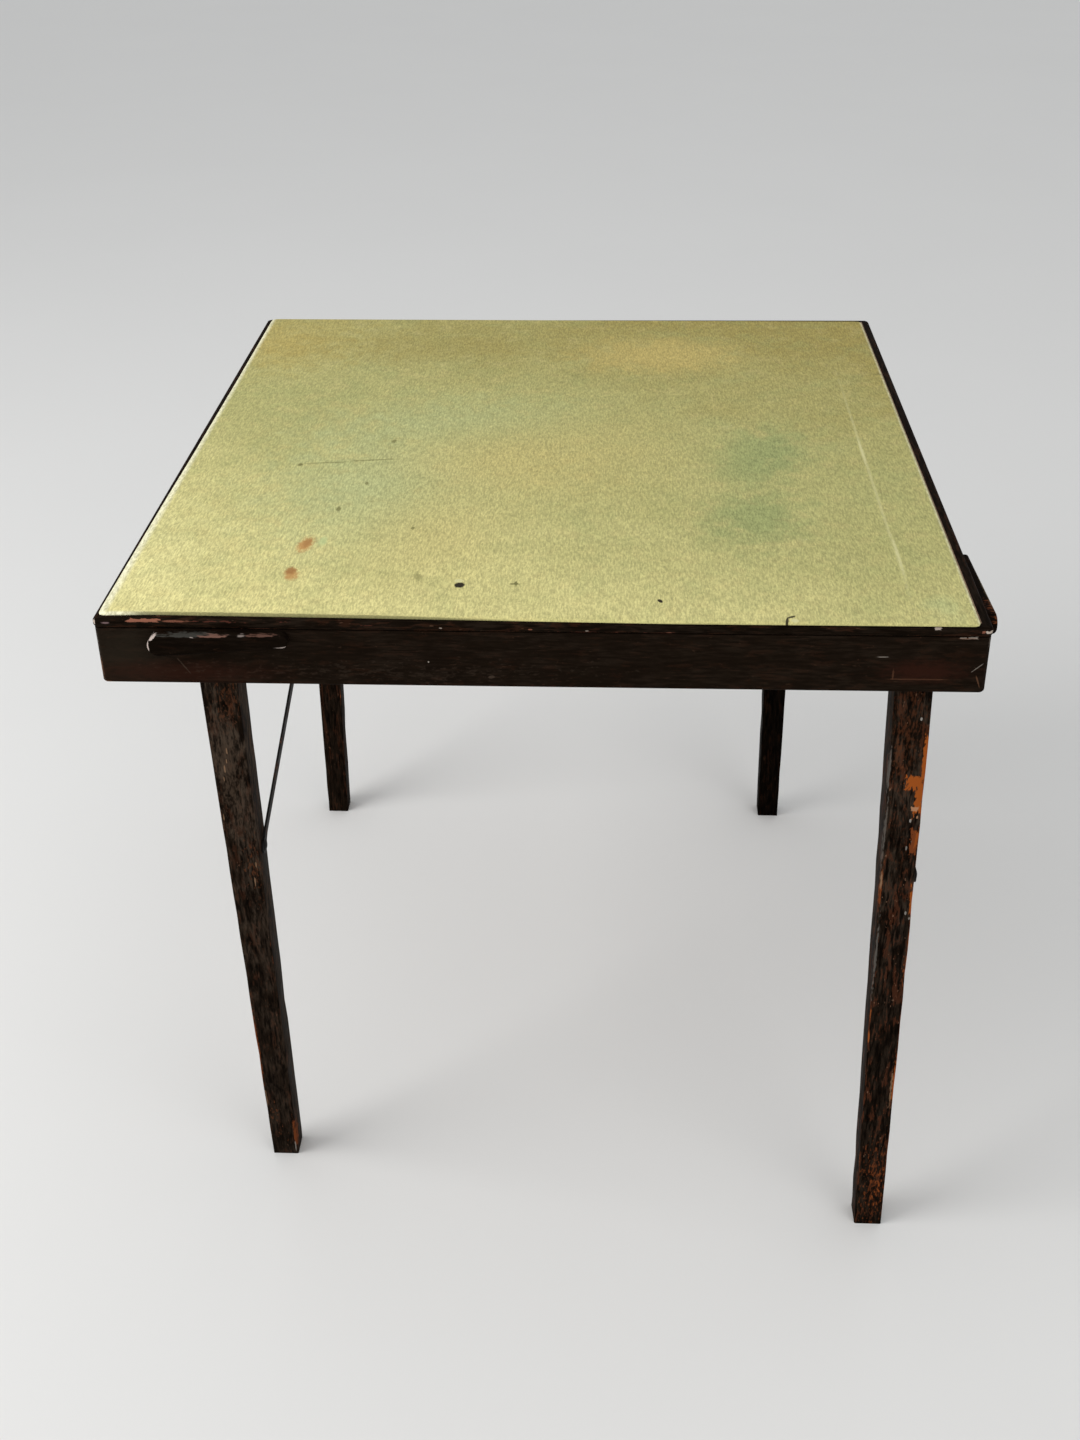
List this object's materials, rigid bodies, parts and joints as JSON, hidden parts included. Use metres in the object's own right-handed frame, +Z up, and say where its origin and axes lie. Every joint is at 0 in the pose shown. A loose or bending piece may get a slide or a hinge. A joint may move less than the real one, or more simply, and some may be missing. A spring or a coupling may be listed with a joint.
{
  "type": "folding card table",
  "caption": "Square folding card table: baize top in a dark wood frame, tapered legs that fold flat on steel stays, and pull-out glass slides.",
  "frame": {"origin": "on the floor, under the centre of the square top", "axes": "+Z up; +Y from the front, the side nearest the viewer in the picture, to the rear; +X to the right"},
  "size_m": [0.7517, 0.7517, 0.7028],
  "materials": {
    "ebonised_wood": "worn semi-gloss black paint over reddish wood",
    "underside_wood": "bare stained wood",
    "baize": "faded and stained green felt",
    "black_steel": "blackened sheet and strap steel",
    "screw_steel": "dull slotted screws"
  },
  "bodies": {
    "frame": {"apron_front": "ebonised_wood", "bead_front": "ebonised_wood", "apron_right": "ebonised_wood", "bead_right": "ebonised_wood", "apron_rear": "ebonised_wood", "bead_rear": "ebonised_wood", "apron_left": "ebonised_wood", "bead_left": "ebonised_wood", "slide_guides_front": "underside_wood", "slide_guides_right": "underside_wood", "corner_blocks": "underside_wood", "bearer_left": "underside_wood", "bearer_right": "underside_wood", "cross_batten": "underside_wood", "top_panel": "underside_wood", "baize_cover": "baize", "pivot_rivets": "black_steel", "plate_screws": "screw_steel", "panel_screws": "screw_steel", "hinge_bracket_front_left": "black_steel", "stay_runner_front_left": "black_steel", "hinge_bracket_front_right": "black_steel", "stay_runner_front_right": "black_steel", "hinge_bracket_rear_right": "black_steel", "stay_runner_rear_right": "black_steel", "hinge_bracket_rear_left": "black_steel", "stay_runner_rear_left": "black_steel"},
    "slide_front": {"slide_board_front": "underside_wood", "slide_pull_front": "ebonised_wood"},
    "slide_right": {"slide_board_right": "underside_wood", "slide_pull_right": "ebonised_wood"},
    "leg_front_left": {"leg_front_left": "ebonised_wood", "stay_pin_front_left": "black_steel"},
    "stay_front_left": {"stay_front_left": "black_steel", "stay_rivet_front_left": "black_steel"},
    "stud_front_left": {"guide_stud_front_left": "black_steel"},
    "leg_front_right": {"leg_front_right": "ebonised_wood", "stay_pin_front_right": "black_steel"},
    "stay_front_right": {"stay_front_right": "black_steel", "stay_rivet_front_right": "black_steel"},
    "stud_front_right": {"guide_stud_front_right": "black_steel"},
    "leg_rear_right": {"leg_rear_right": "ebonised_wood", "stay_pin_rear_right": "black_steel"},
    "stay_rear_right": {"stay_rear_right": "black_steel", "stay_rivet_rear_right": "black_steel"},
    "stud_rear_right": {"guide_stud_rear_right": "black_steel"},
    "leg_rear_left": {"leg_rear_left": "ebonised_wood", "stay_pin_rear_left": "black_steel"},
    "stay_rear_left": {"stay_rear_left": "black_steel", "stay_rivet_rear_left": "black_steel"},
    "stud_rear_left": {"guide_stud_rear_left": "black_steel"}
  },
  "joints": [
    {"name": "front_left_leg_fold", "type": "hinge", "parent": "frame", "child": "leg_front_left", "pos_m": [-0.2772, -0.3312, 0.654], "axis": [1, 0, 0], "range_deg": [0, 86.2]},
    {"name": "front_left_stay_swing", "type": "hinge", "parent": "leg_front_left", "child": "stay_front_left", "pos_m": [-0.2772, -0.31602, 0.42545], "axis": [1, 0, 0], "range_deg": [-126.1, 0]},
    {"name": "front_left_stud_travel", "type": "slide", "parent": "frame", "child": "stud_front_left", "axis": [0, 1, 0], "range_m": [0, 0.29683]},
    {"name": "front_right_leg_fold", "type": "hinge", "parent": "frame", "child": "leg_front_right", "pos_m": [0.3157, -0.3312, 0.654], "axis": [1, 0, 0], "range_deg": [0, 92.2]},
    {"name": "front_right_stay_swing", "type": "hinge", "parent": "leg_front_right", "child": "stay_front_right", "pos_m": [0.3157, -0.33999, 0.42511], "axis": [1, 0, 0], "range_deg": [-132.17, 0]},
    {"name": "front_right_stud_travel", "type": "slide", "parent": "frame", "child": "stud_front_right", "axis": [0, 1, 0], "range_m": [0, 0.32109]},
    {"name": "rear_right_leg_fold", "type": "hinge", "parent": "frame", "child": "leg_rear_right", "pos_m": [0.2772, 0.3312, 0.654], "axis": [-1, 0, 0], "range_deg": [0, 88.5]},
    {"name": "rear_right_stay_swing", "type": "hinge", "parent": "leg_rear_right", "child": "stay_rear_right", "pos_m": [0.2772, 0.3252, 0.42502], "axis": [-1, 0, 0], "range_deg": [-128.49, 0]},
    {"name": "rear_right_stud_travel", "type": "slide", "parent": "frame", "child": "stud_rear_right", "axis": [0, -1, 0], "range_m": [0, 0.30637]},
    {"name": "rear_left_leg_fold", "type": "hinge", "parent": "frame", "child": "leg_rear_left", "pos_m": [-0.3157, 0.3312, 0.654], "axis": [-1, 0, 0], "range_deg": [0, 88]},
    {"name": "rear_left_stay_swing", "type": "hinge", "parent": "leg_rear_left", "child": "stay_rear_left", "pos_m": [-0.3157, 0.32321, 0.42508], "axis": [-1, 0, 0], "range_deg": [-127.98, 0]},
    {"name": "rear_left_stud_travel", "type": "slide", "parent": "frame", "child": "stud_rear_left", "axis": [0, -1, 0], "range_m": [0, 0.30432]},
    {"name": "front_slide_pull", "type": "slide", "parent": "frame", "child": "slide_front", "axis": [0, -1, 0], "range_m": [0, 0.1]},
    {"name": "right_slide_pull", "type": "slide", "parent": "frame", "child": "slide_right", "axis": [1, 0, 0], "range_m": [0, 0.1]}
  ],
  "couplings": [
    {"joint": "front_left_stay_swing", "follows": "front_left_leg_fold", "ratio": -1.4628},
    {"joint": "front_left_stud_travel", "follows": "front_left_leg_fold", "m_per_rad": 0.19729},
    {"joint": "front_right_stay_swing", "follows": "front_right_leg_fold", "ratio": -1.4335},
    {"joint": "front_right_stud_travel", "follows": "front_right_leg_fold", "m_per_rad": 0.19953},
    {"joint": "rear_right_stay_swing", "follows": "rear_right_leg_fold", "ratio": -1.4518},
    {"joint": "rear_right_stud_travel", "follows": "rear_right_leg_fold", "m_per_rad": 0.19834},
    {"joint": "rear_left_stay_swing", "follows": "rear_left_leg_fold", "ratio": -1.4542},
    {"joint": "rear_left_stud_travel", "follows": "rear_left_leg_fold", "m_per_rad": 0.19813}
  ]
}
